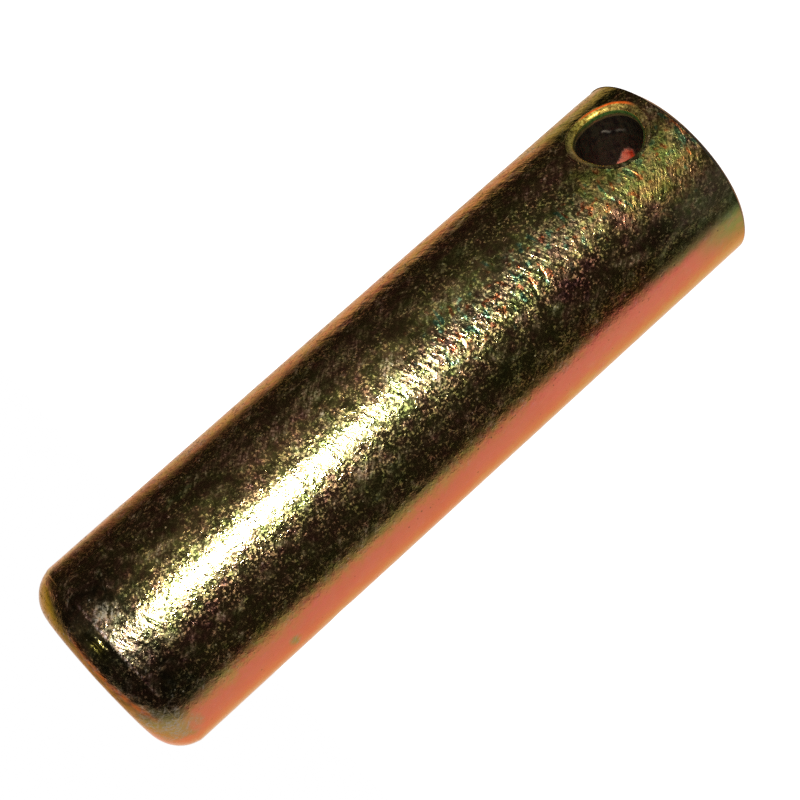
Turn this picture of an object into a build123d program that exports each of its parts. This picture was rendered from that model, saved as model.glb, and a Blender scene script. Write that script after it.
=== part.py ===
from build123d import *
import math
import os

os.makedirs("parts", exist_ok=True)

# Pivot pin: one turned and cross-drilled steel bar, zinc plated.
# Millimetres. The pin stands on its square, drilled end: the origin is the
# centre of that end's face, and +Z runs up the axis to the rounded lead-in end.

# ---- driving dimensions -------------------------------------------------------
pin_diameter = 25.4          # shank, 1 in
pin_length = 88.9            # overall, 3-1/2 in
edge_break = 0.6             # 45 degree break round the square end's edge

lead_radius = 4.35           # turned round of the lead-in end
lead_crease = 4.0            # degrees: the round leaves the shank at this angle,
                             # which is the faint turned line seen below it

hole_diameter = 7.94         # cross hole, 5/16 in, drilled right through
hole_height = 6.85           # its axis above the square end's face
mouth_width = 0.87           # hand-cut break round each mouth: how far it reaches
                             # out over the shank, the same all the way round
mouth_depth = 0.60           # and how far it reaches down the hole's wall

# ---- shank: one revolved profile --------------------------------------------
R = pin_diameter / 2
crease = math.radians(lead_crease)
arc_centre_r = R - lead_radius * math.cos(crease)
arc_centre_z = pin_length - lead_radius
crease_z = arc_centre_z + lead_radius * math.sin(crease)
mid = (math.pi / 2 + crease) / 2
arc_mid = (arc_centre_r + lead_radius * math.cos(mid),
           arc_centre_z + lead_radius * math.sin(mid))

with BuildPart() as pin:
    with BuildSketch(Plane.XZ) as section:
        with BuildLine():
            Polyline((0, pin_length), (0, 0), (R - edge_break, 0), (R, edge_break), (R, crease_z))
            ThreePointArc((R, crease_z), arc_mid, (arc_centre_r, pin_length))
            Line((arc_centre_r, pin_length), (0, pin_length))
        make_face()
    revolve(axis=Axis.Z)

    # ---- cross hole along Y, through both walls -----------------------------------
    with Locations(Location((0, 0, hole_height), (90, 0, 0))):
        Cylinder(hole_diameter / 2, 2 * pin_diameter, mode=Mode.SUBTRACT)

    # ---- break round each mouth, following the edge where the hole meets the shank --
    shank_face = pin.faces().filter_by(GeomType.CYLINDER).sort_by(SortBy.AREA)[-1]
    mouths = [wire for wire in shank_face.inner_wires()]
    for wire in mouths:
        chamfer(wire.edges(), length=mouth_width, length2=mouth_depth, reference=shank_face)
        shank_face = pin.faces().filter_by(GeomType.CYLINDER).sort_by(SortBy.AREA)[-1]

solid = pin.part.solids()[0]
export_step(solid, "parts/pivot_pin.step")

print("solids", len(pin.part.solids()))
print("volume mm3", round(solid.volume, 1), "box", solid.bounding_box())
print("steel kg", round(solid.volume * 7.85e-6, 4))
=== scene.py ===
import bpy
import math
import random
import numpy as np
from mathutils import Matrix


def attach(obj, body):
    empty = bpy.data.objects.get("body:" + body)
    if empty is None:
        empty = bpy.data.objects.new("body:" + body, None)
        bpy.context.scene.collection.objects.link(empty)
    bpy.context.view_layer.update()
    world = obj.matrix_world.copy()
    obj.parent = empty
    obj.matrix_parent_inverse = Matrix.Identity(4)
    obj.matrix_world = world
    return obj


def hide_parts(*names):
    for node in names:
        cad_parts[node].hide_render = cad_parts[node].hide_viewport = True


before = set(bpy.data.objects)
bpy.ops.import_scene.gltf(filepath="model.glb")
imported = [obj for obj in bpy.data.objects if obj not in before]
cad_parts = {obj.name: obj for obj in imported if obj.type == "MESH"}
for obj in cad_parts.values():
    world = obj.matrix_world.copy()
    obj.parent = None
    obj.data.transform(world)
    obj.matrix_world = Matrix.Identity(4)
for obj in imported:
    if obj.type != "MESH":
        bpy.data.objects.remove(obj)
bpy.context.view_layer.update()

sc = bpy.context.scene
MM = 0.001

# ---------------------------------------------------------------------------
# Camera: the photograph's view, 800 x 800. The pin stands up, so the camera is
# rolled to lay it across the picture from lower left to upper right.
# ---------------------------------------------------------------------------
cam_data = bpy.data.cameras.new("camera")
cam = bpy.data.objects.new("camera", cam_data)
sc.collection.objects.link(cam)
CAM_POS = (-120.385, -164.230, 79.265)
CAM_ROT = Matrix(((-0.614423, 0.529921, -0.584524),
                  (0.291224, -0.536219, -0.792249),
                  (-0.733262, -0.657003, 0.175139)))
cam.matrix_world = Matrix.Translation([c * MM for c in CAM_POS]) @ CAM_ROT.to_4x4()
cam_data.sensor_width = 36.0
cam_data.lens = 81.049
cam_data.clip_start = 0.01
cam_data.clip_end = 20.0
sc.camera = cam
sc.view_settings.view_transform = "Standard"
sc.view_settings.look = "None"
sc.cycles.use_denoising = False
sc.cycles.sample_clamp_indirect = 2.0

# horizontal directions seen from the pin: towards the camera, and towards the
# picture's lower right
to_cam = np.array([-0.5865, -0.8099])
to_low = np.array([-0.8099, 0.5865])

# ---------------------------------------------------------------------------
# The pin's visible mesh, in millimetres, to the CAD's sizes
# ---------------------------------------------------------------------------
R, L = 12.7, 88.9
EDGE = 0.6
LEAD_R, CREASE = 4.35, math.radians(4.0)
HOLE_R, HOLE_H = 3.97, 6.85
MOUTH_W, MOUTH_D = 0.87, 0.60

N = 256                      # points round the shank
HALF = 20                    # half the square patch round each mouth, in cells
ZL, ZH = 1.10, 12.60         # the patch's lower and upper edge
rng = np.random.default_rng(20931)


class Build:
    def __init__(self):
        self.v, self.z, self.f = [], [], []           # points, part of the pin, faces

    def add(self, pts, part):
        """points (n, 3) that belong to one part of the pin; returns their indices"""
        i0 = len(self.v)
        self.v += [tuple(p) for p in pts]
        self.z += [part] * len(pts)
        return np.arange(i0, i0 + len(pts))

    def strip(self, a, b, closed=True, flip=False):
        n = len(a)
        for i in range(n if closed else n - 1):
            j = (i + 1) % n
            q = (int(a[i]), int(a[j]), int(b[j]), int(b[i]))
            self.f.append(q[::-1] if flip else q)


SKIN, RING, LIP, WALL, BEVEL, FACE, RIM, BURR = range(8)
B = Build()
th = 2 * np.pi * np.arange(N) / N          # measured from -Y, towards +X


def circle(r, z):
    return np.stack([r * np.sin(th), -r * np.cos(th), np.full(N, z)], 1)


# shank rows; the two square patches round the mouths are left out and filled below
z_low = [0.85, 0.98]
z_patch = list(np.linspace(ZL, ZH, 2 * HALF + 1))
z_up = list(np.linspace(ZH, 84.9, 150))[1:]
z_rows = z_low + z_patch + z_up
rows = [B.add(circle(R, z), SKIN) for z in z_rows]
i_lo, i_hi = len(z_low), len(z_low) + 2 * HALF
cols = {}
for side in (0, 1):                         # 0: mouth at -Y, 1: mouth at +Y
    c = side * N // 2
    cols[side] = [(c + k) % N for k in range(-HALF, HALF + 1)]
skip = {side: set(cols[side][:-1]) for side in (0, 1)}
for r in range(len(rows) - 1):
    inside = i_lo <= r < i_hi
    for i in range(N):
        if inside and (i in skip[0] or i in skip[1]):
            continue
        j = (i + 1) % N
        B.f.append((int(rows[r][i]), int(rows[r][j]), int(rows[r + 1][j]), int(rows[r + 1][i])))


def on_shank(x, z, side, depth=0.0):
    """a point seen at (x, z) along the hole's axis, laid on the shank, then sunk by depth"""
    y = np.sqrt(np.maximum(R * R - x * x, 0.0)) - depth
    s = -1.0 if side == 0 else 1.0
    return np.stack([-s * x, s * y, z], 1)


bore_rings = {}
for side in (0, 1):
    cc = cols[side]
    edge = []                               # the square's boundary, anticlockwise from outside
    edge += [(i_lo, cc[k]) for k in range(0, 2 * HALF)]
    edge += [(i_lo + k, cc[2 * HALF]) for k in range(0, 2 * HALF)]
    edge += [(i_hi, cc[2 * HALF - k]) for k in range(0, 2 * HALF)]
    edge += [(i_hi - k, cc[0]) for k in range(0, 2 * HALF)]
    outer = np.array([rows[r][c] for r, c in edge])
    du = np.array([((c - (side * N // 2) + N // 2) % N - N // 2) * 2 * np.pi * R / N for r, c in edge])
    dz = np.array([z_rows[r] - HOLE_H for r, c in edge])
    psi = np.arctan2(du, dz)
    n = len(edge)
    # unrolled place of the outermost rim ring
    rim = HOLE_R + MOUTH_W + 0.22
    rx, rz = rim * np.sin(psi), rim * np.cos(psi)
    ru = R * np.arcsin(rx / R)
    prev = outer
    for t in (0.28, 0.52, 0.72, 0.88, 1.0):
        u = du + (ru - du) * t
        z = dz + (rz - dz) * t
        x = R * np.sin(u / R)
        ring = B.add(on_shank(x, HOLE_H + z, side), SKIN)
        B.strip(prev, ring)
        prev = ring
    # the break's section (out from the bore's wall, down from the shank, part): a worn
    # bevel, rounder at its inner corner
    wob = 0.05 * np.sin(psi * 2 + 0.6 + side) + 0.035 * np.sin(psi * 5 + 1.1) + 0.02 * np.sin(psi * 11 + 0.4)
    q0, q1 = math.radians(16), math.radians(84)
    section = [(1.02, 0.001, SKIN), (0.975, 0.004, RIM), (0.895, 0.012, RIM)]
    for i in range(11):
        q = q0 + (q1 - q0) * i / 10
        o = (math.sin(q1) - math.sin(q)) / (math.sin(q1) - math.sin(q0))
        d = (math.cos(q0) - math.cos(q)) / (math.cos(q0) - math.cos(q1))
        section.append((0.82 * o + 0.012, 0.024 + 0.68 * d, BURR if i < 2 else RING if i < 9 else LIP))
    section += [(0.0, 0.80, LIP), (0.0, 0.98, LIP), (0.0, 1.12, LIP)]
    for out, down, part in section:
        rr = HOLE_R + out * (1 + wob * min(1.0, out * 3))
        if side == 0:                       # one stretch of the near mouth is hammered outwards
            hit = np.exp(-((np.degrees(psi) + 118 + 180) % 360 - 180) ** 2 / (2 * 20.0 ** 2))
            rr = rr + 0.26 * hit * max(0.0, 1 - out / 0.9) * min(1.0, max(0.0, (1.12 - down) / 0.30))
        ring = B.add(on_shank(rr * np.sin(psi), HOLE_H + rr * np.cos(psi), side, down), part)
        B.strip(prev, ring)
        prev = ring
    bore_rings[side] = (prev, psi)

# the bore's wall between the two mouths, in rings of one plane each
prev, psi = bore_rings[0]
far, psi_f = bore_rings[1]
x0 = HOLE_R * np.sin(psi)
z0 = HOLE_H + HOLE_R * np.cos(psi)
y_near = -(np.sqrt(R * R - x0 * x0) - 1.12)
# the far mouth runs the other way round: match its points by their angle
order = []
xf = -HOLE_R * np.sin(psi_f)
zf = HOLE_H + HOLE_R * np.cos(psi_f)
for i in range(len(psi)):
    order.append(int(np.argmin((xf - x0[i]) ** 2 + (zf - z0[i]) ** 2)))
far = far[np.array(order)]
y_far = -y_near
for t in np.unique(np.concatenate([np.linspace(0, 1, 58)[1:-1], np.linspace(0.055, 0.165, 34)])):
    ring = B.add(np.stack([x0, y_near + (y_far - y_near) * t, z0], 1), WALL)
    B.strip(prev, ring)
    prev = ring
B.strip(prev, far)

# lead-in end: crease, round and flat, with fine turned grooves in the round
rc, zc = R - LEAD_R * math.cos(CREASE), L - LEAD_R
# height up the pin, depth where the tool bit in, depth elsewhere and half width of each groove
GROOVES = ((85.45, 0.004, 0.003, 0.10), (85.80, 0.145, 0.005, 0.225), (86.24, 0.004, 0.003, 0.09), (86.71, 0.238, 0.006, 0.250),
           (87.35, 0.006, 0.004, 0.10), (87.9, 0.006, 0.004, 0.12), (88.3, 0.006, 0.004, 0.10), (88.6, 0.006, 0.004, 0.10))
bite = np.exp(-(((np.degrees(th) + 24.5 + 180) % 360 - 180) / 4.6) ** 2)


def lead_ring(a):
    """the round's section at angle a, with the grooves cut square to it"""
    r, z = rc + LEAD_R * math.cos(a), zc + LEAD_R * math.sin(a)
    d = sum((hi * bite + lo * (1 - bite)) * math.exp(-((z - at) / wide) ** 2) for at, hi, lo, wide in GROOVES)
    r, z = r - d * math.cos(a), z - d * math.sin(a)
    return np.stack([r * np.sin(th), -r * np.cos(th), z + 0 * th], 1)


a_from = math.asin((85.52 - zc) / LEAD_R)
angles = list(a_from + (np.arange(0, 1.95, 0.048)) / LEAD_R)
angles += list(np.linspace(angles[-1] + 0.03, math.pi / 2, 18))
prev = rows[-1]
for r, z in ((R, 85.02), (R - 0.003, 85.10), (R - 0.012, 85.19), (R - 0.024, 85.28), (R - 0.040, 85.37), (R - 0.062, 85.46)):
    ring = B.add(circle(r, z), SKIN)
    B.strip(prev, ring)
    prev = ring
for a_ in angles:
    ring = B.add(lead_ring(a_), SKIN)
    B.strip(prev, ring)
    prev = ring
for r in (8.0, 7.2, 6.2, 5.1, 4.0, 3.0, 2.0, 1.1, 0.45):
    ring = B.add(circle(r, L), SKIN)
    B.strip(prev, ring)
    prev = ring
tip = B.add(np.array([[0, 0, L]]), SKIN)[0]
for i in range(N):
    B.f.append((int(prev[i]), int(prev[(i + 1) % N]), int(tip)))

# square end: the broken edge, a little wider on one side, then the flat face
worn = 0.74 + 1.05 * np.exp(-((np.degrees(th) - 42 + 180) % 360 - 180) ** 2 / (2 * 38.0 ** 2)) + 0.04 * np.sin(3 * th + 1) + 0.03 * np.sin(7 * th)
worn = np.minimum(worn, 1.80)


def bevel(down_in, up, part):
    """a ring of the broken edge: in from the shank and up from the face, each scaled by the wear"""
    r = R - (0.0 if part == SKIN else 0.020) - down_in * worn
    return B.add(np.stack([r * np.sin(th), -r * np.cos(th), up * np.minimum(worn, 1.27)], 1), part)


prev = rows[0]
for down_in, up, part in ((0.0, 0.66, SKIN), (0.0, 0.60, BEVEL), (0.030, 0.53, BEVEL), (0.13, 0.41, BEVEL), (0.27, 0.27, BEVEL),
                          (0.40, 0.145, BEVEL), (0.515, 0.032, BEVEL), (0.534, 0.014, BEVEL), (0.556, 0.0, FACE)):
    ring = bevel(down_in, up, part)
    B.strip(prev, ring, flip=True)
    prev = ring
for r in (11.2, 9.8, 8.4, 7.0, 5.6, 4.2, 2.8, 1.6, 0.6):
    ring = B.add(circle(r, 0.0), FACE)
    B.strip(prev, ring, flip=True)
    prev = ring
tip = B.add(np.array([[0, 0, 0.0]]), FACE)[0]
for i in range(N):
    B.f.append((int(prev[(i + 1) % N]), int(prev[i]), int(tip)))

V = np.array(B.v, float)
# the end was sawn a little out of square
cut = 0.42 * np.clip(0.5 + 0.5 * (V[:, 0] * math.sin(math.radians(40)) - V[:, 1] * math.cos(math.radians(40))) / R, 0, 1) ** 4
V[:, 2] += cut * np.clip(1 - V[:, 2] / 1.05, 0, 1)
# and its edge is knocked off further round one side
knock = np.exp(-((np.degrees(np.arctan2(V[:, 0], -V[:, 1])) - 62 + 180) % 360 - 180) ** 2 / (2 * 22.0 ** 2)) * (np.hypot(V[:, 0], V[:, 1]) > 11.3)
V[:, 2] += 0.24 * knock * np.where(V[:, 2] < 0.84, V[:, 2] / 0.84, np.clip((3.0 - V[:, 2]) / 2.16, 0, 1))
part = np.array(B.z)
# the round end is a touch lower on one side
V[:, 2] -= 0.20 * np.clip((V[:, 0] * to_low[0] + V[:, 1] * to_low[1]) / R, 0, 1) * np.clip((V[:, 2] - 84.5) / 4.0, 0, 1)


def step(x, a_, b_):
    q = np.clip((x - a_) / (b_ - a_), 0, 1)
    return q * q * (3 - 2 * q)


# ---- dings, flats and the shank's slight unevenness: always inwards -----------
def lattice_noise(p, cell, seed):
    """smooth value noise in 3-D, about -1 to 1"""
    q = p / cell + 1000.0
    i = np.floor(q).astype(np.int64)
    f = q - i
    f = f * f * f * (f * (f * 6 - 15) + 10)
    out = np.zeros(len(p))
    for dx in (0, 1):
        for dy in (0, 1):
            for dz_ in (0, 1):
                h = (i[:, 0] + dx) * 374761393 + (i[:, 1] + dy) * 668265263 + (i[:, 2] + dz_) * 2147483647 + seed * 974634777
                h = (h ^ (h >> 13)) * 1274126177
                h = (h ^ (h >> 16)) & 0xFFFFFF
                w = (f[:, 0] if dx else 1 - f[:, 0]) * (f[:, 1] if dy else 1 - f[:, 1]) * (f[:, 2] if dz_ else 1 - f[:, 2])
                out += w * (h / float(0xFFFFFF) * 2 - 1)
    return out


rad = np.hypot(V[:, 0], V[:, 1])
azi = np.arctan2(V[:, 0], -V[:, 1])
skin = (part == SKIN) & (rad > 8.5)          # shank and lead-in round
# the outward direction on the skin: radial, turning up over the round
tilt = np.where(V[:, 2] > 85.3, np.clip((V[:, 2] - zc) / LEAD_R, 0, 1), 0.0)
nr = np.sqrt(1 - tilt ** 2)
out_dir = np.stack([V[:, 0] / rad.clip(1e-6) * nr, V[:, 1] / rad.clip(1e-6) * nr, tilt], 1)
sink = 0.012 + 0.010 * (1 + lattice_noise(V, 5.5, 1)) * 0.5 + 0.006 * (1 + lattice_noise(V, 2.3, 2)) * 0.5 + 0.0035 * (1 + lattice_noise(V, 1.05, 3)) * 0.5

n_ding = 420
d_az = rng.uniform(-np.pi, np.pi, n_ding)
d_z = rng.uniform(1.0, 86.5, n_ding)
d_r = rng.lognormal(math.log(0.62), 0.42, n_ding).clip(0.35, 1.9)
d_d = d_r * rng.uniform(0.012, 0.034, n_ding)
d_st = rng.uniform(0.55, 1.0, n_ding)
d_an = rng.uniform(0, np.pi, n_ding)
for k in range(n_ding):
    near = np.abs(V[:, 2] - d_z[k]) < 2.2 * d_r[k]
    idx = np.nonzero(near)[0]
    da = (azi[idx] - d_az[k] + np.pi) % (2 * np.pi) - np.pi
    s_ = da * R
    q_ = V[idx, 2] - d_z[k]
    ca, sa = math.cos(d_an[k]), math.sin(d_an[k])
    a_ = (s_ * ca + q_ * sa) / d_r[k]
    b_ = (-s_ * sa + q_ * ca) / (d_r[k] * d_st[k])
    w = np.clip(1 - a_ * a_ - b_ * b_, 0, None) ** 1.5
    sink[idx] += d_d[k] * w
V[skin] -= out_dir[skin] * sink[skin][:, None]

# the corner of the square end is rounded over on its upper side
over = np.exp(-((np.degrees(azi) - 58 + 180) % 360 - 180) ** 2 / (2 * 24.0 ** 2)) * skin
inset = 0.20 * over * np.clip(1 - V[:, 2] / 4.6, 0, 1) ** 2.2
V[:, 0] -= V[:, 0] / rad.clip(1e-6) * inset
V[:, 1] -= V[:, 1] / rad.clip(1e-6) * inset

# bore: light drill chatter
wallish = part == WALL
ang = np.arctan2(V[:, 0], V[:, 2] - HOLE_H)
ch = 0.012 * np.sin(V[:, 1] * 5.2 + ang) + 0.010 * lattice_noise(V, 1.6, 7)
for axis, base in ((0, V[:, 0]), (2, V[:, 2] - HOLE_H)):
    V[wallish, axis] += (base / HOLE_R * ch)[wallish]

# ---- marks with a place of their own on the shank, two of them a painted highlight ---
# height up the pin, turn from -Y towards +X in degrees, half length up the pin, half
# width round it (mm), turn of the ellipse (degrees), then: dusty film, warm (+) or
# green (-) tint of the plating, paleness of the dust
MARKS = (
    (83.4, -15.0, 1.6, 1.1, 20, 0.75, 0.0), (84.3, -22.0, 0.5, 2.2, 0, 0.50, 0.0), (84.4, -40.0, 0.35, 3.2, 0, 0.45, 0.0),
    (80.4, -43.9, 0.8, 0.6, 30, 0.50, 0.0), (74.7, -54.0, 0.7, 0.45, 50, 0.60, -0.2), (72.9, -56.3, 0.6, 0.45, 0, 0.40, 0.0),
    (75.2, -8.7, 2.0, 0.55, 8, 0.55, 0.0), (78.5, 0.4, 0.45, 0.40, 0, 0.40, 0.0), (66.5, -6.3, 0.9, 0.35, -20, 0.35, 0.0),
    (68.9, 7.3, 2.4, 0.55, 0, 0.25, -1.0), (64.9, -48.0, 2.3, 0.35, 32, 0.45, -0.2), (53.2, -48.2, 1.1, 0.9, 0, 0.65, 0.0),
    (56.5, -51.0, 3.0, 0.30, 12, 0.30, 0.0), (51.5, -2.3, 1.6, 0.9, 0, 0.55, -0.2), (53.1, -9.8, 1.5, 0.6, 50, 0.65, 0.0),
    (59.0, -2.0, 5.0, 0.9, 6, 0.40, 0.1), (50.0, 3.0, 6.0, 0.8, -5, 0.40, 0.0), (57.4, -18.0, 1.2, 0.6, 60, 0.45, -0.2),
    (60.0, -66.4, 0.5, 0.4, 0, 0.40, 0.0), (56.8, -72.5, 0.6, 0.5, 0, 0.45, 0.1), (43.6, -16.6, 1.5, 1.2, 0, 0.65, 0.1),
    (44.1, -22.5, 1.0, 1.0, 0, 0.55, 0.1), (40.5, -38.5, 0.6, 1.3, 10, 0.50, 0.3), (35.4, 8.1, 1.3, 0.12, 35, 0.45, 0.0),
    (31.4, 2.8, 0.9, 0.15, 30, 0.40, 0.0), (38.0, 2.0, 3.0, 1.0, 20, 0.20, 0.0), (33.0, -12.0, 3.5, 1.4, 0, 0.22, -0.2),
    (25.5, -53.2, 1.0, 0.9, 20, 0.30, -0.9), (21.5, -60.0, 2.6, 0.8, 10, 0.18, -0.3), (13.2, -39.1, 1.2, 1.6, 0, 0.0, 0.9),
    (12.2, -46.4, 0.9, 0.8, 0, 0.55, 0.0), (7.0, -43.2, 1.7, 0.7, -8, 0.55, -0.8), (11.2, -15.0, 1.8, 1.4, 0, 0.28, -0.6),
    (4.0, -24.0, 1.3, 1.6, 0, 0.15, -0.7), (76.5, -50.7, 3.0, 1.6, 0, 0.0, 0.8), (82.4, -64.5, 2.2, 1.8, 0, 0.0, -0.7),
    (52.5, -60.0, 3.2, 1.6, 0, 0.0, -0.8), (22.0, -50.0, 3.6, 1.6, 0, 0.0, 0.7), (34.0, -60.0, 3.4, 1.7, 0, 0.0, -0.5),
    (70.4, -99.4, 0.55, 1.0, 0, 0.60, -1.0), (69.0, -82.7, 0.24, 0.22, 0, 0.0, -1.4), (81.9, -86.5, 1.2, 0.5, 40, 0.12, 0.0),
    # on the next line, the marks at 1.9 and 1.15 mm up, -27 degrees round, are a painted highlight on the square end's
    # edge: a pale glint and an orange-red line nearer the end
    (86.4, -86.0, 2.3, 3.8, -12, 0.62, -0.2), (1.9, -27.0, 0.26, 1.5, 0, 1.0, -0.3), (1.15, -27.0, 0.30, 2.4, 0, 0.0, 1.1), (62.0, 9.0, 3.5, 0.8, 0, 0.20, 0.4), (3.2, -63.0, 4.8, 3.4, 0, 0.40, 0.0), (15.0, -60.0, 2.4, 0.5, 24, 0.50, 0.0), (9.5, -66.0, 2.6, 0.4, -18, 0.50, 0.0), (6.0, -58.0, 1.9, 0.4, 30, 0.55, 0.0),
    (29.0, 6.0, 3.0, 1.1, 0, 0.12, -0.5), (10.0, 48.0, 15.0, 2.6, 0, 0.08, -0.75), (36.0, 49.0, 9.0, 2.0, 0, 0.05, -0.35), (46.0, 10.0, 4.0, 0.7, 0, 0.16, 0.2), (16.5, 2.0, 3.2, 1.2, 10, 0.16, 0.5),
)
more = []
for i in range(150):                        # the sides that the photograph doesn't show
    az = rng.uniform(22, 255)
    long_, wide = rng.lognormal(0.1, 0.5), rng.lognormal(-0.35, 0.4)
    more.append((rng.uniform(2, 87), az, min(long_, 4.5), min(wide, 2.0), rng.uniform(-60, 60),
                 rng.uniform(0.1, 0.6) * (rng.random() < 0.6), rng.normal(0, 0.45)))
warp_a, warp_b = lattice_noise(V, 1.1, 11), lattice_noise(V, 0.55, 12)
# dusty film and tint from the marks; the dusty film also carries painted highlights
haze_and_painted_highlight = np.zeros(len(V))
tint = np.zeros(len(V))
for z_, az_, la, lb, rot, hz_and_highlight, tn in list(MARKS) + more:
    da = (azi - math.radians(az_) + np.pi) % (2 * np.pi) - np.pi
    p_, q_ = V[:, 2] - z_, da * R
    ca, sa = math.cos(math.radians(rot)), math.sin(math.radians(rot))
    d_ = np.sqrt(((p_ * ca + q_ * sa) / la) ** 2 + ((-p_ * sa + q_ * ca) / lb) ** 2)
    d_ = d_ + 0.30 * warp_a + 0.22 * warp_b
    w_ = np.clip((1.45 - d_) / 1.0, 0, 1)
    w_ = w_ * w_ * (3 - 2 * w_) * skin
    haze_and_painted_highlight = np.maximum(haze_and_painted_highlight, hz_and_highlight * w_)
    tint += tn * w_
tint = np.clip(tint, -1.5, 1.5)
# a painted highlight: a pale line along the crease, over the side that the marks are on, laid in as a warm tint and a
# dusty film
crease_painted_highlight = np.exp(-((V[:, 2] - 85.12) / 0.16) ** 2) * step(np.degrees(azi), -68, -52) * step(np.degrees(azi), 6, -8) * skin
tint += 0.8 * crease_painted_highlight
haze_and_painted_highlight = np.maximum(haze_and_painted_highlight, crease_painted_highlight * np.clip(0.70 + 0.9 * warp_a + 0.4 * warp_b, 0, 1.2))


def patches(spots, wobble=0.34):
    """soft-edged patches (z, azimuth, half length, half width, turn, weight), the strongest at each point"""
    out = np.zeros(len(V))
    for z_, az_, la, lb, rot, wt_ in spots:
        da = (azi - math.radians(az_) + np.pi) % (2 * np.pi) - np.pi
        p_, q_ = V[:, 2] - z_, da * R
        ca, sa = math.cos(math.radians(rot)), math.sin(math.radians(rot))
        d_ = np.sqrt(((p_ * ca + q_ * sa) / la) ** 2 + ((-p_ * sa + q_ * ca) / lb) ** 2) + wobble * warp_a + 0.5 * wobble * warp_b
        out = np.maximum(out, wt_ * step(d_, 1.4, 0.6))
    return out * skin


# olive plating, and the duller skin by the hole
olive = patches(((86.4, -85, 2.2, 3.6, -12, 0.60), (70.4, -99.4, 0.45, 0.8, 0, 0.75), (3.5, 43, 6.5, 1.3, 0, 0.40),
                 (30.0, -76, 6.0, 1.0, 0, 0.30), (54.0, -77, 7.0, 0.9, 0, 0.25), (8.0, -75, 6.0, 1.5, 0, 0.60)))
olive = np.maximum(olive, 0.85 * step(np.abs(np.degrees(azi) - 26.0 - 2.5 * warp_a), 10.5, 6.5) * step(V[:, 2], 13.5, 9.0) * skin)
d_end = np.hypot((V[:, 2] - 0.3) / 5.2, ((azi - math.radians(-84) + np.pi) % (2 * np.pi) - np.pi) * R / 3.4) + 0.12 * warp_a
olive = np.maximum(olive, 0.92 * step(d_end, 1.75, 0.35) * skin)
ashen = step(np.degrees(azi), 28, 34) * step(np.degrees(azi), 62, 52) * step(V[:, 2], 20.0, 8.0) * skin
ashen = np.maximum(ashen, 0.85 * step(np.degrees(azi), -46, -56) * step(np.degrees(azi), -84, -78) * step(V[:, 2], 18.0, 6.0) * skin)
matte = patches(((7.0, -24, 8.0, 5.6, 0, 1.0), (17.0, -26, 6.5, 3.4, 0, 0.45), (5.0, -44, 3.6, 3.0, 0, 0.75)))

# the side towards the light is very slightly flattened over the lower half (mm, for the bump)
from_lit = (azi - math.radians(-31) + np.pi) % (2 * np.pi) - np.pi
lean = -0.046 * R * from_lit * step(np.abs(from_lit), math.radians(43), math.radians(18)) * step(V[:, 2], 52, 30) * skin

# part of the bore's wall from part way in, with a ragged edge, and the wall towards the far mouth: painted bright
# salmon as a reflection of the white surroundings seen through the far mouth, and made smoother and more metallic
in_y = V[:, 1] + 1.1 * lattice_noise(V, 1.5, 31) + 0.5 * lattice_noise(V, 0.6, 32)
round_ = np.degrees(np.arctan2(V[:, 0], V[:, 2] - HOLE_H)) + 7 * lattice_noise(V, 0.9, 33)
window = step(round_, 117, 123) * step(round_, 158, 152)
from_y = -2.5 - 2.5 * step(round_, 122, 146)
painted_reflection_patch = np.maximum(step(in_y - from_y, -0.25, 0.25) * window, step(in_y, 0.5, 2.5)) * wallish

# the round's outer part turns from ember red through amber to olive gold
az_d = np.degrees(azi)
z_edge = 88.05 - np.where(az_d > -36, 0.00056, 0.00078) * np.clip(az_d + 36, -60, 60) ** 2 + 0.05 * warp_a + 0.04 * warp_b
ember = np.exp(-((V[:, 2] - z_edge - 0.18) / 0.36) ** 2) * step(az_d, -82, -66) * step(az_d, -4, -18) * skin
haze_and_painted_highlight *= 1 - 0.85 * ember
amber = step(V[:, 2] - z_edge, 0.26, 0.56) * step(az_d, -74, -56) * step(az_d, 150, 120) * (part == SKIN) * (rad > 6.0)
gold_way = step(az_d, -22, -6)
straw = np.exp(-((V[:, 2] - 86.5) / 0.8) ** 2) * np.exp(-((az_d + 24.5) / 8) ** 2) * skin

# a thin brown film above the highlight, and the smoother, greyer skin low down by the square end
warm = step(az_d, -30, -20) * step(az_d, 2, -14) * step(V[:, 2], 19, 25) * skin
low_right = step(az_d, -46, -56) * step(az_d, -90, -82) * step(V[:, 2], 19, 8) * skin

# the two flat ends are plated one plain gold
flat = np.where(part == FACE, 1.0, step(rad, 8.6, 7.2) * (V[:, 2] > 88.3) * (part == SKIN))

# where tools have struck it
strip = np.exp(-((az_d + 27) / 15.0) ** 2)
strip = np.maximum(strip, 0.20 * step(lattice_noise(V, 6.0, 51), 0.05, 0.45) * step(np.abs((az_d + 36 + 180) % 360 - 180), 95, 120))
strip *= step(V[:, 2], 45, 36) * skin
tint += 0.16 * strip

# how battered the skin is: most in the half towards the hole, least on the pinker side
turn = (azi - math.radians(-35.9) + np.pi) % (2 * np.pi) - np.pi       # 0 faces the camera, minus is the lower side
batter = 0.22 + 0.78 * step(V[:, 2], 54, 40) * (0.75 + 0.25 * step(V[:, 2], 9, 17))
batter = np.maximum(batter, 0.85 * step(V[:, 2], 76.5, 81.5) * step(np.abs(turn), math.radians(48), math.radians(30)))
batter *= 0.55 + 0.45 * (0.5 + 0.5 * lattice_noise(V, 4.0, 21))
low_edge = step(-turn, math.radians(18), math.radians(36)) * step(-turn, math.radians(118), math.radians(100))
batter *= 1 - 0.85 * low_edge
batter = batter * (1 - flat) + 0.10 * flat

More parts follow.
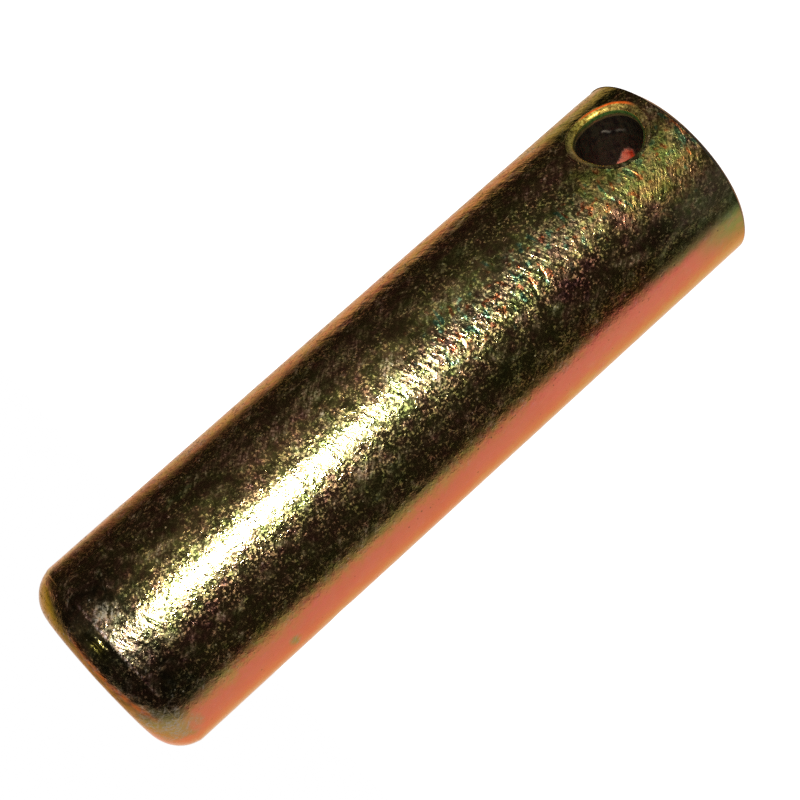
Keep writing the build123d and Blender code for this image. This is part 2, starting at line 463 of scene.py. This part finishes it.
mesh = bpy.data.meshes.new("pin_surface")
mesh.from_pydata([tuple(p) for p in (V * MM)], [], B.f)
mesh.validate(verbose=False)
mesh.update()
bore_az = np.degrees(np.arctan2(V[:, 0], V[:, 2] - HOLE_H))          # 0 up the pin, 90 towards +X
ring_w = ((part == RING) | (part == BURR)) * np.clip(0.44 + 0.56 * np.cos(np.radians(bore_az - 100)) + 0.25 * warp_a, 0.03, 1.0)
rim_w = ((part == RIM) | (part == BURR)) * step(bore_az, 82, 102) * step(bore_az, 184, 160)
bright_rim = ((part == RING) | (part == BURR)) * step(bore_az, 72, 100) * step(bore_az, 172, 148)
lip_w = (part == LIP) * np.clip((1.16 - (np.sqrt(np.maximum(R * R - V[:, 0] ** 2, 0)) - np.abs(V[:, 1]))) / 0.16, 0, 1)
# a painted highlight in the bore: the bright line where a tool mark in the wall catches the lamp
y_line = -8.52 - 0.30 * step(bore_az, 128, 114)
painted_gleam = wallish * np.exp(-((V[:, 1] - y_line - 0.16 * warp_b) / 0.17) ** 2) * step(bore_az, 112, 117) * step(bore_az, 158, 150) * np.clip(0.78 + 0.9 * lattice_noise(V, 0.7, 41), 0, 1)
# painted shade: the plating is darkened near the round end on the side towards the camera, to dim the lamp's highlight
# there
painted_shade = step(V[:, 2], 77.5, 82.5) * step(np.abs(turn), math.radians(52), math.radians(34)) * (part == SKIN)
round_end = np.exp(-((V[:, 2] - 88.02) / 0.13) ** 2) * (part == SKIN) * (rad > 9.5)
tint += 0.85 * round_end * (0.7 + 0.5 * warp_a)
for name, values in (("rim", rim_w), ("ring", ring_w), ("lip", lip_w), ("wall", part == WALL), ("bevel", part == BEVEL), ("face", part == FACE),
                     ("painted_reflection_patch", painted_reflection_patch), ("haze_and_painted_highlight", haze_and_painted_highlight), ("tint", tint), ("batter", batter), ("lean", lean), ("painted_gleam", painted_gleam), ("painted_shade", painted_shade), ("ember", ember), ("amber", amber), ("gold_way", gold_way), ("strip", strip), ("ashen", ashen), ("straw", straw), ("bright_rim", bright_rim), ("warm", warm), ("flat", flat), ("low_right", low_right), ("painted_reflection_red_edge", painted_reflection_patch * step(round_, 143, 151)), ("olive", olive), ("matte", matte)):
    mesh.attributes.new(name, "FLOAT", "POINT").data.foreach_set("value", values.astype(np.float32))
mesh.shade_smooth()
pin = bpy.data.objects.new("pin_surface", mesh)
sc.collection.objects.link(pin)
print("tris", sum(len(f) - 2 for f in B.f), "verts", len(V))
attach(pin, "root")
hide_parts("pivot_pin")


# ---------------------------------------------------------------------------
# Material: yellow zinc plate
# ---------------------------------------------------------------------------
class Nodes:
    def __init__(self, tree):
        self.t = tree
        self.x = 0

    def new(self, kind, **props):
        n = self.t.nodes.new(kind)
        n.location = (self.x, 0)
        self.x += 20
        for k, v in props.items():
            setattr(n, k, v)
        return n

    def link(self, a, b):
        self.t.links.new(a, b)

    def put(self, sock, v):
        if isinstance(v, bpy.types.NodeSocket):
            self.link(v, sock)
        else:
            sock.default_value = v

    def math(self, op, a, b=0.0, c=0.0, clamp=False):
        n = self.new("ShaderNodeMath", operation=op, use_clamp=clamp)
        self.put(n.inputs[0], a); self.put(n.inputs[1], b); self.put(n.inputs[2], c)
        return n.outputs[0]

    def vmath(self, op, a, b=(0, 0, 0)):
        n = self.new("ShaderNodeVectorMath", operation=op)
        self.put(n.inputs[0], a); self.put(n.inputs[1], b)
        return n.outputs["Value"] if op in ("LENGTH", "DOT_PRODUCT", "DISTANCE") else n.outputs[0]

    def range(self, v, a, b, c=0.0, d=1.0, smooth=True):
        n = self.new("ShaderNodeMapRange", interpolation_type="SMOOTHSTEP" if smooth else "LINEAR")
        self.put(n.inputs[0], v)
        for i, q in enumerate((a, b, c, d)):
            self.put(n.inputs[i + 1], q)
        return n.outputs[0]

    def noise(self, vec, scale, detail=2.0, rough=0.5, dist=0.0, out=0):
        n = self.new("ShaderNodeTexNoise")
        self.put(n.inputs["Vector"], vec)
        n.inputs["Scale"].default_value = scale
        n.inputs["Detail"].default_value = detail
        n.inputs["Roughness"].default_value = rough
        n.inputs["Distortion"].default_value = dist
        return n.outputs[out]

    def voronoi(self, vec, scale, feature="F1", rand=1.0, out="Distance"):
        n = self.new("ShaderNodeTexVoronoi", feature=feature)
        self.put(n.inputs["Vector"], vec)
        n.inputs["Scale"].default_value = scale
        n.inputs["Randomness"].default_value = rand
        return n.outputs[out]

    def mixf(self, f, a, b):
        n = self.new("ShaderNodeMix", data_type="FLOAT")
        self.put(n.inputs[0], f); self.put(n.inputs[2], a); self.put(n.inputs[3], b)
        return n.outputs[0]

    def mixc(self, f, a, b, mode="MIX"):
        n = self.new("ShaderNodeMix", data_type="RGBA", blend_type=mode)
        self.put(n.inputs[0], f); self.put(n.inputs[6], a); self.put(n.inputs[7], b)
        return n.outputs[2]

    def ramp(self, f, stops, mode="LINEAR"):
        n = self.new("ShaderNodeValToRGB")
        n.color_ramp.interpolation = mode
        e = n.color_ramp.elements
        while len(e) > 1:
            e.remove(e[-1])
        e[0].position, e[0].color = stops[0][0], (*stops[0][1], 1)
        for p, c in stops[1:]:
            q = e.new(p)
            q.color = (*c, 1)
        self.put(n.inputs[0], f)
        return n.outputs[0]

    def combine(self, x, y, z):
        n = self.new("ShaderNodeCombineXYZ")
        self.put(n.inputs[0], x); self.put(n.inputs[1], y); self.put(n.inputs[2], z)
        return n.outputs[0]


mat = bpy.data.materials.new("yellow_zinc")
mat.use_nodes = True
k = Nodes(mat.node_tree)
bsdf = mat.node_tree.nodes["Principled BSDF"]


def attribute(name):
    return k.new("ShaderNodeAttribute", attribute_name=name, attribute_type="GEOMETRY").outputs["Fac"]


def offset(x, y, z):
    return k.vmath("ADD", P, (x, y, z))


def stretched(twist, sx, sz, shift):
    """the surface's place, twisted round the axis and scaled, for marks that run one way"""
    rot = k.new("ShaderNodeVectorRotate", rotation_type="Z_AXIS")
    k.link(offset(0, 0, 0), rot.inputs["Vector"])
    k.link(k.math("MULTIPLY", pz, twist), rot.inputs["Angle"])
    v = k.vmath("MULTIPLY", rot.outputs[0], (sx, sx, sz))
    return k.vmath("ADD", v, (shift, shift * 1.7, -shift))


def streaks(twist, sx, sz, shift, few, width):
    """thin marks, each an ellipse round its own cell point, in some of the cells only"""
    v = k.new("ShaderNodeTexVoronoi", feature="F1")
    k.link(stretched(twist, sx, sz, shift), v.inputs["Vector"])
    v.inputs["Scale"].default_value = 1.0
    cs = k.new("ShaderNodeSeparateColor")
    k.link(v.outputs["Color"], cs.inputs[0])
    keep = k.range(cs.outputs[0], 1 - few, 1 - few + 0.02)
    size = k.math("MULTIPLY", k.math("ADD", 0.5, cs.outputs[1]), width)
    inside = k.range(k.math("SUBTRACT", v.outputs["Distance"], size), 0.0, -width * 0.6)
    return k.math("MULTIPLY", k.math("MULTIPLY", keep, inside), k.math("ADD", 0.35, k.math("MULTIPLY", cs.outputs[2], 0.65)))


obj = k.new("ShaderNodeTexCoord").outputs["Object"]
P = k.vmath("MULTIPLY", obj, (1000.0, 1000.0, 1000.0))       # millimetres
sep = k.new("ShaderNodeSeparateXYZ")
k.link(P, sep.inputs[0])
px, py, pz = sep.outputs
hz_and_highlight, tn, bt = attribute("haze_and_painted_highlight"), attribute("tint"), attribute("batter")
olive_a, matte_a = attribute("olive"), attribute("matte")
rim_a, ring_a, lip_a, wall_a, painted_reflection_a, bevel_a, face_a = (attribute(q) for q in ("rim", "ring", "lip", "wall", "painted_reflection_patch", "bevel", "face"))

# place round the shank: 0 at the side towards the camera, 0.25 at the lower side
c_front = k.vmath("DOT_PRODUCT", P, (to_cam[0], to_cam[1], 0.0))
c_low = k.vmath("DOT_PRODUCT", P, (to_low[0], to_low[1], 0.0))
turn_n = k.math("DIVIDE", k.math("ARCTAN2", c_low, c_front), 2 * math.pi)
# shift the bands' edges a little from place to place
n_edge = k.noise(P, 0.16, 2.0, 0.55, 0.5)
n_edge2 = k.noise(offset(9, 4, 40), 1.1, 3.0, 0.65)
turn_w = k.math("ADD", turn_n, k.math("MULTIPLY", k.math("SUBTRACT", n_edge, 0.5), 0.045))
turn_w = k.math("ADD", turn_w, k.math("MULTIPLY", k.math("SUBTRACT", n_edge2, 0.5), 0.040))
turn_w = k.math("ADD", turn_w, k.range(pz, 48.0, 22.0, 0.0, 0.020))
turn_w = k.math("FRACT", k.math("ADD", turn_w, 1.0))

bands = k.ramp(turn_w, [
    (0.000, (0.56, 0.520, 0.200)),
    (0.018, (0.57, 0.490, 0.180)),
    (0.036, (0.58, 0.420, 0.155)),
    (0.062, (0.54, 0.360, 0.140)),
    (0.100, (0.46, 0.32, 0.105)),
    (0.118, (0.42, 0.255, 0.070)),
    (0.134, (0.50, 0.180, 0.065)),
    (0.150, (0.56, 0.158, 0.085)),
    (0.180, (0.60, 0.176, 0.108)),
    (0.198, (0.59, 0.215, 0.112)),
    (0.214, (0.57, 0.310, 0.125)),
    (0.230, (0.54, 0.400, 0.140)),
    (0.262, (0.52, 0.42, 0.120)),
    (0.330, (0.44, 0.40, 0.100)),
    (0.400, (0.58, 0.40, 0.125)),
    (0.470, (0.60, 0.24, 0.115)),
    (0.540, (0.56, 0.175, 0.110)),
    (0.610, (0.62, 0.34, 0.125)),
    (0.680, (0.50, 0.42, 0.110)),
    (0.735, (0.45, 0.42, 0.200)),
    (0.772, (0.43, 0.38, 0.215)),
    (0.790, (0.43, 0.325, 0.170)),
    (0.808, (0.45, 0.250, 0.120)),
    (0.828, (0.42, 0.225, 0.090)),
    (0.852, (0.49, 0.300, 0.118)),
    (0.925, (0.60, 0.425, 0.148)),
    (0.948, (0.59, 0.460, 0.160)),
    (0.968, (0.57, 0.500, 0.185)),
    (0.985, (0.56, 0.530, 0.210)),
    (1.000, (0.56, 0.520, 0.200))])

flat_a = attribute("flat")
bands = k.mixc(flat_a, bands, (0.54, 0.42, 0.15, 1))

# ---- nicks: short cuts across the pin in its battered half, each with a red and a teal flank ----


def nicks(twist, sx, sz, shift, few, width, side):
    vec = stretched(twist, sx, sz, shift)
    v = k.new("ShaderNodeTexVoronoi", feature="F1")
    k.link(vec, v.inputs["Vector"])
    v.inputs["Scale"].default_value = 1.0
    cs = k.new("ShaderNodeSeparateColor")
    k.link(v.outputs["Color"], cs.inputs[0])
    keep = k.math("MULTIPLY", k.range(cs.outputs[0], 1 - few, 1 - few + 0.05), k.math("ADD", 0.45, k.math("MULTIPLY", cs.outputs[2], 0.55)))
    d = k.math("SUBTRACT", v.outputs["Distance"], k.math("MULTIPLY", k.math("ADD", 0.55, k.math("MULTIPLY", cs.outputs[1], 0.9)), width))
    deep = k.math("MULTIPLY", keep, k.range(d, side, 0.0))
    off = k.new("ShaderNodeSeparateXYZ")
    k.link(k.vmath("SUBTRACT", vec, v.outputs["Position"]), off.inputs[0])
    near = k.math("MULTIPLY", keep, k.range(d, side + 0.13, side - 0.02))
    return deep, k.math("MULTIPLY", near, k.range(off.outputs[2], width * 0.1, -width * 1.3, -1.0, 1.0, smooth=False))


nick_a, fringe_a = nicks(0.14, 0.36, 0.56, 2.2, 0.40, 0.145, 0.16)
nick_b, fringe_b = nicks(-0.12, 0.40, 0.60, 8.8, 0.34, 0.145, 0.15)
strip_a = attribute("strip")
nick = k.math("MULTIPLY", k.math("MAXIMUM", nick_a, nick_b), strip_a)
fringe = k.math("MULTIPLY", k.math("ADD", fringe_a, fringe_b), strip_a)

# patches of thicker and thinner film: maroon and plum one way, green the other
n_big = k.noise(offset(31, 7, 3), 0.22, 3.0, 0.55, 0.5)
n_mid = k.noise(offset(5, 61, 13), 0.95, 1.6, 0.50, 0.3)
grain_v = k.new("ShaderNodeTexVoronoi", feature="F1")
k.link(P, grain_v.inputs["Vector"])
grain_v.inputs["Scale"].default_value = 2.7
gs = k.new("ShaderNodeSeparateColor")
k.link(grain_v.outputs["Color"], gs.inputs[0])
g1, g2, g3 = gs.outputs
calm = k.math("MULTIPLY", k.range(turn_n, 0.115, 0.150), k.range(turn_n, 0.30, 0.26))     # the smooth, pinker side
lively = k.math("SUBTRACT", 1.0, k.math("MULTIPLY", calm, 0.80))
shift = k.math("MULTIPLY", k.math("SUBTRACT", n_big, 0.5), 1.2)
shift = k.math("ADD", shift, k.math("MULTIPLY", k.math("SUBTRACT", n_mid, 0.5), 1.45))
shift = k.math("ADD", shift, k.math("MULTIPLY", k.math("SUBTRACT", g1, 0.5), 0.16))
shift = k.math("MULTIPLY", shift, lively)
shift = k.math("ADD", k.math("ADD", shift, 0.05), k.math("MULTIPLY", tn, 0.50))
shift = k.math("ADD", shift, k.math("MULTIPLY", fringe, 0.3))
tinge = k.ramp(k.math("ADD", 0.5, k.math("MULTIPLY", shift, 0.5)), [
    (0.00, (0.40, 0.66, 0.56)),
    (0.20, (0.60, 0.88, 0.66)),
    (0.36, (0.86, 1.06, 0.82)),
    (0.50, (1.00, 1.00, 1.00)),
    (0.62, (1.06, 0.86, 1.02)),
    (0.76, (0.92, 0.58, 0.92)),
    (0.88, (0.60, 0.36, 0.74)),
    (1.00, (0.42, 0.32, 0.74))])
plate = k.mixc(1.0, bands, tinge, "MULTIPLY")
plate = k.mixc(k.math("MULTIPLY", olive_a, k.range(n_mid, 0.30, 0.55, 0.75, 1.0)), plate, (0.205, 0.240, 0.060, 1))

n_fleck = k.noise(offset(22, 14, 6), 0.95, 1.0, 0.5)
fleck = k.math("ADD", k.math("MULTIPLY", fringe, 1.5), k.math("MULTIPLY", k.math("SUBTRACT", n_fleck, 0.5), k.math("ADD", 1.0, k.math("MULTIPLY", k.math("MAXIMUM", strip_a, k.math("MULTIPLY", matte_a, 0.55)), 3.3))))
plate = k.mixc(k.math("MULTIPLY", k.range(fleck, 0.28, 0.78), 0.82), plate, (0.70, 0.17, 0.050, 1))
plate = k.mixc(k.math("MULTIPLY", k.range(fleck, -0.30, -0.85), 0.75), plate, (0.14, 0.42, 0.260, 1))
plate = k.mixc(attribute("ember"), plate, (0.64, 0.14, 0.014, 1))
plate = k.mixc(k.math("MULTIPLY", attribute("amber"), 0.92), plate, k.mixc(attribute("gold_way"), (0.27, 0.118, 0.012, 1), (0.175, 0.140, 0.018, 1)))
plate = k.mixc(attribute("straw"), plate, (0.62, 0.54, 0.060, 1))
plate = k.mixc(attribute("ashen"), plate, k.mixc(1.0, plate, (0.78, 1.08, 1.25, 1), "MULTIPLY"))
plate = k.mixc(matte_a, plate, k.mixc(1.0, plate, (0.49, 0.48, 0.33, 1), "MULTIPLY"))
# painted shade over the highlight's end near the round
plate = k.mixc(k.math("MULTIPLY", attribute("painted_shade"), k.range(n_mid, 0.35, 0.60, 0.75, 0.45)), plate, (0.05, 0.04, 0.035, 1))

# small dark and light specks, short scratches one way and the other
speck = k.new("ShaderNodeTexVoronoi", feature="F1")
k.link(offset(3, 3, 3), speck.inputs["Vector"])
speck.inputs["Scale"].default_value = 1.45
ss = k.new("ShaderNodeSeparateColor")
k.link(speck.outputs["Color"], ss.inputs[0])
s_size = k.math("MULTIPLY", k.math("POWER", ss.outputs[1], 2.0), 0.22)
s_in = k.range(k.math("SUBTRACT", speck.outputs["Distance"], s_size), 0.02, -0.07)
pale_speck = k.math("MULTIPLY", s_in, k.range(ss.outputs[0], 0.60, 0.64))
dark_speck = k.math("MULTIPLY", s_in, k.range(ss.outputs[0], 0.30, 0.26))
scr = k.math("MAXIMUM", streaks(0.012, 2.9, 0.42, 1.3, 0.10, 0.13), streaks(0.075, 2.7, 0.50, 7.1, 0.08, 0.13))
scr = k.math("MAXIMUM", scr, streaks(-0.055, 2.8, 0.52, 4.7, 0.07, 0.13))
scr = k.math("MAXIMUM", scr, streaks(0.26, 2.1, 1.0, 9.4, 0.07, 0.13))
scr = k.math("MULTIPLY", scr, k.math("SUBTRACT", 1.0, k.math("MULTIPLY", calm, 0.75)))

# dust and dulled plating, with the painted highlights on the crease and the square end's edge: the marks with a place,
# clouds, specks and scratches
n_cloud = k.noise(offset(17, 2, 8), 0.50, 5.0, 0.70, 0.7)
n_fine = k.noise(offset(2, 9, 1), 3.0, 3.0, 0.65)
fine_break = k.range(n_fine, 0.36, 0.64, 0.05, 1.45)
n_smear = k.noise(stretched(0.075, 1.5, 0.45, 3.3), 1.0, 3.0, 0.70, 0.4)
fine_break = k.math("MULTIPLY", fine_break, k.range(n_smear, 0.42, 0.60, 0.20, 1.55))
cloud = k.math("MULTIPLY", k.range(n_cloud, 0.48, 0.72), 0.20)
dust_and_painted_highlight = k.math("MAXIMUM", k.math("MULTIPLY", hz_and_highlight, 0.46), k.math("MULTIPLY", cloud, lively))
dust_and_painted_highlight = k.math("MAXIMUM", dust_and_painted_highlight, k.math("MULTIPLY", matte_a, k.range(n_mid, 0.30, 0.70, 0.13, 0.24)))
low_right_a = attribute("low_right")
fine_break = k.mixf(k.math("MULTIPLY", low_right_a, 0.65), fine_break, 0.75)
dust_and_painted_highlight = k.math("MULTIPLY", dust_and_painted_highlight, fine_break)
dust_and_painted_highlight = k.math("MAXIMUM", dust_and_painted_highlight, k.math("MULTIPLY", pale_speck, k.math("MULTIPLY", lively, 0.42)))
dust_and_painted_highlight = k.math("MAXIMUM", dust_and_painted_highlight, k.math("MULTIPLY", scr, 0.30))
dust_and_painted_highlight = k.math("ADD", dust_and_painted_highlight, 0.020, clamp=True)
dust_and_highlight_colour = k.mixc(k.range(n_cloud, 0.40, 0.60), (0.50, 0.44, 0.34, 1), (0.48, 0.46, 0.46, 1))
matte_colour = k.mixc(k.range(n_mid, 0.40, 0.60), (0.26, 0.27, 0.09, 1), (0.44, 0.31, 0.085, 1))
dust_and_highlight_colour = k.mixc(k.math("MULTIPLY", k.range(pz, 30.0, 20.0), matte_a), dust_and_highlight_colour, matte_colour)
colour = k.mixc(k.math("MULTIPLY", dust_and_painted_highlight, 0.80), plate, dust_and_highlight_colour)
colour = k.mixc(k.math("MULTIPLY", dark_speck, 0.65), colour, (0.10, 0.07, 0.045, 1))

# mouths' bevels: brighter, rubbed; the drilled wall is dull and dark but for a patch painted with a reflection
n_wall = k.noise(k.vmath("MULTIPLY", P, (1.0, 0.35, 1.0)), 2.2, 3.0, 0.6)
ring_side = k.range(pz, 11.0, 3.0)            # olive towards the middle of the pin, gold towards its end
ring_colour = k.mixc(ring_side, k.mixc(k.range(n_fine, 0.38, 0.62), (0.21, 0.205, 0.030, 1), (0.36, 0.33, 0.050, 1)),
                     k.mixc(k.range(n_fine, 0.38, 0.62), (0.60, 0.34, 0.040, 1), (1.0, 0.74, 0.16, 1)))
wall_colour = k.mixc(k.range(n_wall, 0.35, 0.68), (0.009, 0.0070, 0.0070, 1), (0.034, 0.030, 0.016, 1))
painted_reflection_colour = k.mixc(k.range(n_mid, 0.35, 0.65), (0.82, 0.30, 0.21, 1), (0.88, 0.50, 0.38, 1))
colour = k.mixc(ring_a, colour, ring_colour)
colour = k.mixc(rim_a, colour, (0.98, 0.17, 0.020, 1))
colour = k.mixc(lip_a, colour, k.mixc(k.range(pz, 8.6, 5.6), (0.10, 0.085, 0.022, 1), k.mixc(k.range(n_fine, 0.36, 0.64), (0.050, 0.120, 0.028, 1), (0.130, 0.240, 0.045, 1))))
colour = k.mixc(wall_a, colour, wall_colour)
# painted reflection on the bore's wall, with a red edge along one side
colour = k.mixc(painted_reflection_a, colour, painted_reflection_colour)
colour = k.mixc(attribute("painted_reflection_red_edge"), colour, (0.62, 0.10, 0.040, 1))
# painted highlight: the tool mark's bright line in the bore
colour = k.mixc(attribute("painted_gleam"), colour, (0.40, 0.35, 0.27, 1))
# the square end: blue-green on its bevel, plain gold on its face
colour = k.mixc(bevel_a, colour, k.mixc(k.range(n_mid, 0.40, 0.62), (0.030, 0.060, 0.075, 1), (0.070, 0.075, 0.070, 1)))
k.link(colour, bsdf.inputs["Base Color"])

n_patch = k.noise(offset(4, 28, 16), 0.55, 3.0, 0.62)
metal = k.math("SUBTRACT", 1.0, k.math("MULTIPLY", dust_and_painted_highlight, 0.55))
metal = k.math("SUBTRACT", metal, k.math("MULTIPLY", ring_a, k.range(n_fine, 0.36, 0.64, 0.08, 0.34)))
metal = k.math("SUBTRACT", metal, k.math("MULTIPLY", attribute("bright_rim"), k.range(n_fine, 0.36, 0.64, 0.16, 0.34)))
metal = k.math("SUBTRACT", metal, k.math("MULTIPLY", rim_a, 0.30))
metal = k.math("SUBTRACT", metal, k.math("MULTIPLY", attribute("warm"), k.range(n_patch, 0.36, 0.62, 0.010, 0.068)))
metal = k.math("SUBTRACT", metal, k.math("MULTIPLY", lip_a, 0.50))
metal = k.math("SUBTRACT", metal, k.math("MULTIPLY", k.math("SUBTRACT", wall_a, painted_reflection_a), 0.60), clamp=True)
metal = k.math("SUBTRACT", metal, k.math("MULTIPLY", painted_reflection_a, 0.12), clamp=True)
k.link(metal, bsdf.inputs["Metallic"])
bsdf.inputs["Specular Tint"].default_value = (1.0, 0.66, 0.42, 1.0)

# ---- roughness ------------------------------------------------------------------
n_rough = k.noise(offset(40, 1, 1), 0.8, 3.0, 0.6)
n_dull = k.noise(offset(6, 6, 2), 3.0, 2.0, 0.62)
rough = k.math("ADD", 0.132, k.math("MULTIPLY", k.math("SUBTRACT", n_rough, 0.5), 0.14))
edge_calm = k.math("MULTIPLY", k.range(turn_n, 0.085, 0.125), k.range(turn_n, 0.32, 0.26))
rough = k.math("ADD", rough, k.math("MULTIPLY", k.math("MULTIPLY", k.range(n_dull, 0.47, 0.70, 0.0, 0.33), k.range(n_patch, 0.36, 0.62, 0.42, 1.36)), k.math("SUBTRACT", 1.0, k.math("MULTIPLY", edge_calm, 0.85))))
rough = k.math("ADD", rough, k.math("MULTIPLY", matte_a, 0.16))
rough = k.math("ADD", rough, k.math("MULTIPLY", dust_and_painted_highlight, 0.40))
rough = k.math("ADD", rough, k.math("MULTIPLY", k.math("MULTIPLY", wall_a, k.math("SUBTRACT", 1.0, painted_reflection_a)), 0.32))
rough = k.math("ADD", rough, k.math("MULTIPLY", ring_a, 0.16))
rough = k.math("MAXIMUM", rough, 0.09)
k.link(rough, bsdf.inputs["Roughness"])

# ---- bump: fine grain everywhere, ridges and small dings where the skin is battered --
grain_a = k.noise(P, 3.2, 2.0, 0.60)
grain_b = k.noise(offset(8, 3, 5), 6.2, 1.0, 0.5)
ridge = k.noise(stretched(-0.15, 0.50, 0.60, 8.8), 1.0, 2.0, 0.55, 0.5)
grain_c = k.noise(offset(12, 1, 20), 1.5, 1.0, 0.5)
dent = k.noise(offset(1, 14, 9), 0.72, 2.0, 0.5, 0.3)
calmer = k.math("SUBTRACT", 1.0, k.math("MULTIPLY", bt, 0.35))
low_calm = k.math("MULTIPLY", k.range(turn_n, 0.030, 0.085), k.range(turn_n, 0.36, 0.30))
calmer = k.math("MULTIPLY", calmer, k.math("SUBTRACT", 1.0, k.math("MULTIPLY", low_calm, 0.52)))
up_calm = k.math("MULTIPLY", k.range(turn_n, -0.125, -0.170), k.range(turn_n, -0.36, -0.30))
calmer = k.math("MULTIPLY", calmer, k.math("SUBTRACT", 1.0, k.math("MULTIPLY", up_calm, 0.72)))
calmer = k.math("MULTIPLY", calmer, k.math("SUBTRACT", 1.0, k.math("MULTIPLY", low_right_a, 0.62)))
calmer = k.mixf(flat_a, calmer, 0.30)
height = k.math("MULTIPLY", grain_a, 26.0)                      # all in micrometres
height = k.math("ADD", height, k.math("MULTIPLY", grain_b, 6.5))
height = k.math("ADD", height, k.math("MULTIPLY", grain_c, 30.0))
n_amp = k.noise(offset(19, 5, 33), 1.25, 3.0, 0.65)
height = k.math("MULTIPLY", height, k.math("MULTIPLY", calmer, k.range(n_amp, 0.46, 0.72, 0.72, 1.48)))
height = k.math("ADD", height, k.math("MULTIPLY", attribute("lean"), 1000.0))
rough_part = k.math("ADD", k.math("MULTIPLY", ridge, 100.0), k.math("MULTIPLY", dent, 125.0))
height = k.math("ADD", height, k.math("MULTIPLY", rough_part, bt))
height = k.math("SUBTRACT", height, k.math("MULTIPLY", nick, 60.0))
lump = k.noise(stretched(0.10, 0.95, 0.75, 5.5), 1.0, 3.0, 0.62, 0.8)
height = k.math("ADD", height, k.math("MULTIPLY", k.math("MULTIPLY", lump, matte_a), 120.0))
height = k.math("SUBTRACT", height, k.math("MULTIPLY", scr, 9.0))
height = k.math("SUBTRACT", height, k.math("MULTIPLY", s_in, 6.0))
# faint turned rings on the flat ends
turned = k.math("SINE", k.math("MULTIPLY", k.vmath("LENGTH", k.vmath("MULTIPLY", P, (1.0, 1.0, 0.0))), 2 * math.pi / 0.46))
height = k.math("ADD", height, k.math("MULTIPLY", k.math("MULTIPLY", turned, flat_a), 2.4))
bump = k.new("ShaderNodeBump")
bump.inputs["Strength"].default_value = 1.0
bump.inputs["Distance"].default_value = 0.000001
k.link(height, bump.inputs["Height"])
k.link(bump.outputs[0], bsdf.inputs["Normal"])
pin.data.materials.append(mat)

# ---------------------------------------------------------------------------
# Stage: a plain white floor, a white surround behind the pin, a lamp above the lens
# ---------------------------------------------------------------------------
floor_mesh = bpy.data.meshes.new("floor")
nf, rf = 96, 3.0
fv = [(rf * math.cos(2 * math.pi * i / nf), rf * math.sin(2 * math.pi * i / nf), 0.0) for i in range(nf)]
floor_mesh.from_pydata(fv, [], [tuple(range(nf))])
floor = bpy.data.objects.new("floor", floor_mesh)
sc.collection.objects.link(floor)
floor.location = (0, 0, -0.00002)
fm = bpy.data.materials.new("floor_white")
fm.use_nodes = True
fb = fm.node_tree.nodes["Principled BSDF"]
fb.inputs["Base Color"].default_value = (0.9, 0.9, 0.9, 1)
fb.inputs["Roughness"].default_value = 0.9
fb.inputs["Specular IOR Level"].default_value = 0.0
fb.inputs["Emission Color"].default_value = (1, 1, 1, 1)
fb.inputs["Emission Strength"].default_value = 1.0
floor_mesh.materials.append(fm)
floor.visible_glossy = False
floor.visible_diffuse = False

world = bpy.data.worlds.new("world")
sc.world = world
world.use_nodes = True
wt = world.node_tree
w = Nodes(wt)
bg = wt.nodes["Background"]
gen = w.new("ShaderNodeTexCoord").outputs["Generated"]
lp = w.new("ShaderNodeLightPath")
a = math.radians(158.6)
wd = math.cos(a) * to_cam + math.sin(a) * to_low
dirn = w.vmath("NORMALIZE", gen)
cosw = w.vmath("DOT_PRODUCT", dirn, (wd[0], wd[1], 0.0))
edge_a, edge_b = math.cos(math.radians(81.2)), math.cos(math.radians(59.0))
soft = w.range(cosw, edge_a, edge_b)
env = w.mixc(soft, (0.010, 0.008, 0.008, 1), (0.97, 0.92, 0.92, 1))
down = w.range(w.vmath("DOT_PRODUCT", dirn, (0.0, 0.0, -1.0)), 0.60, 0.95)
env = w.mixc(down, env, (0.34, 0.33, 0.32, 1))
a = math.radians(-128)
ud = math.cos(a) * to_cam + math.sin(a) * to_low
rise = w.vmath("DOT_PRODUCT", dirn, (0.0, 0.0, 1.0))
strip = w.math("MULTIPLY", w.range(w.vmath("DOT_PRODUCT", dirn, (ud[0], ud[1], 0.0)), math.cos(math.radians(28)), math.cos(math.radians(10))),
               w.range(rise, -0.10, 0.03))
env = w.mixc(strip, env, (0.010, 0.008, 0.008, 1))
amb = w.mixc(lp.outputs["Is Diffuse Ray"], env, (0.35, 0.35, 0.35, 1))
final = w.mixc(lp.outputs["Is Camera Ray"], amb, (1, 1, 1, 1))
w.link(final, bg.inputs["Color"])
bg.inputs["Strength"].default_value = 1.0

# lamp: above the lens as the picture is held, at the camera's distance
M = cam.matrix_world
lamp_data = bpy.data.lights.new("lamp", "AREA")
lamp_data.shape = "DISK"
lamp_data.size = 0.009
lamp_data.energy = 0.38
lamp = bpy.data.objects.new("lamp", lamp_data)
sc.collection.objects.link(lamp)
lp_pos = M @ Matrix.Translation((-0.008, 0.049, 0.0)).to_translation()
aim = np.array([0, 0, 0.05]) - np.array(lp_pos)
lamp.location = lp_pos
from mathutils import Vector
lamp.rotation_euler = Vector(aim).to_track_quat("-Z", "Y").to_euler()
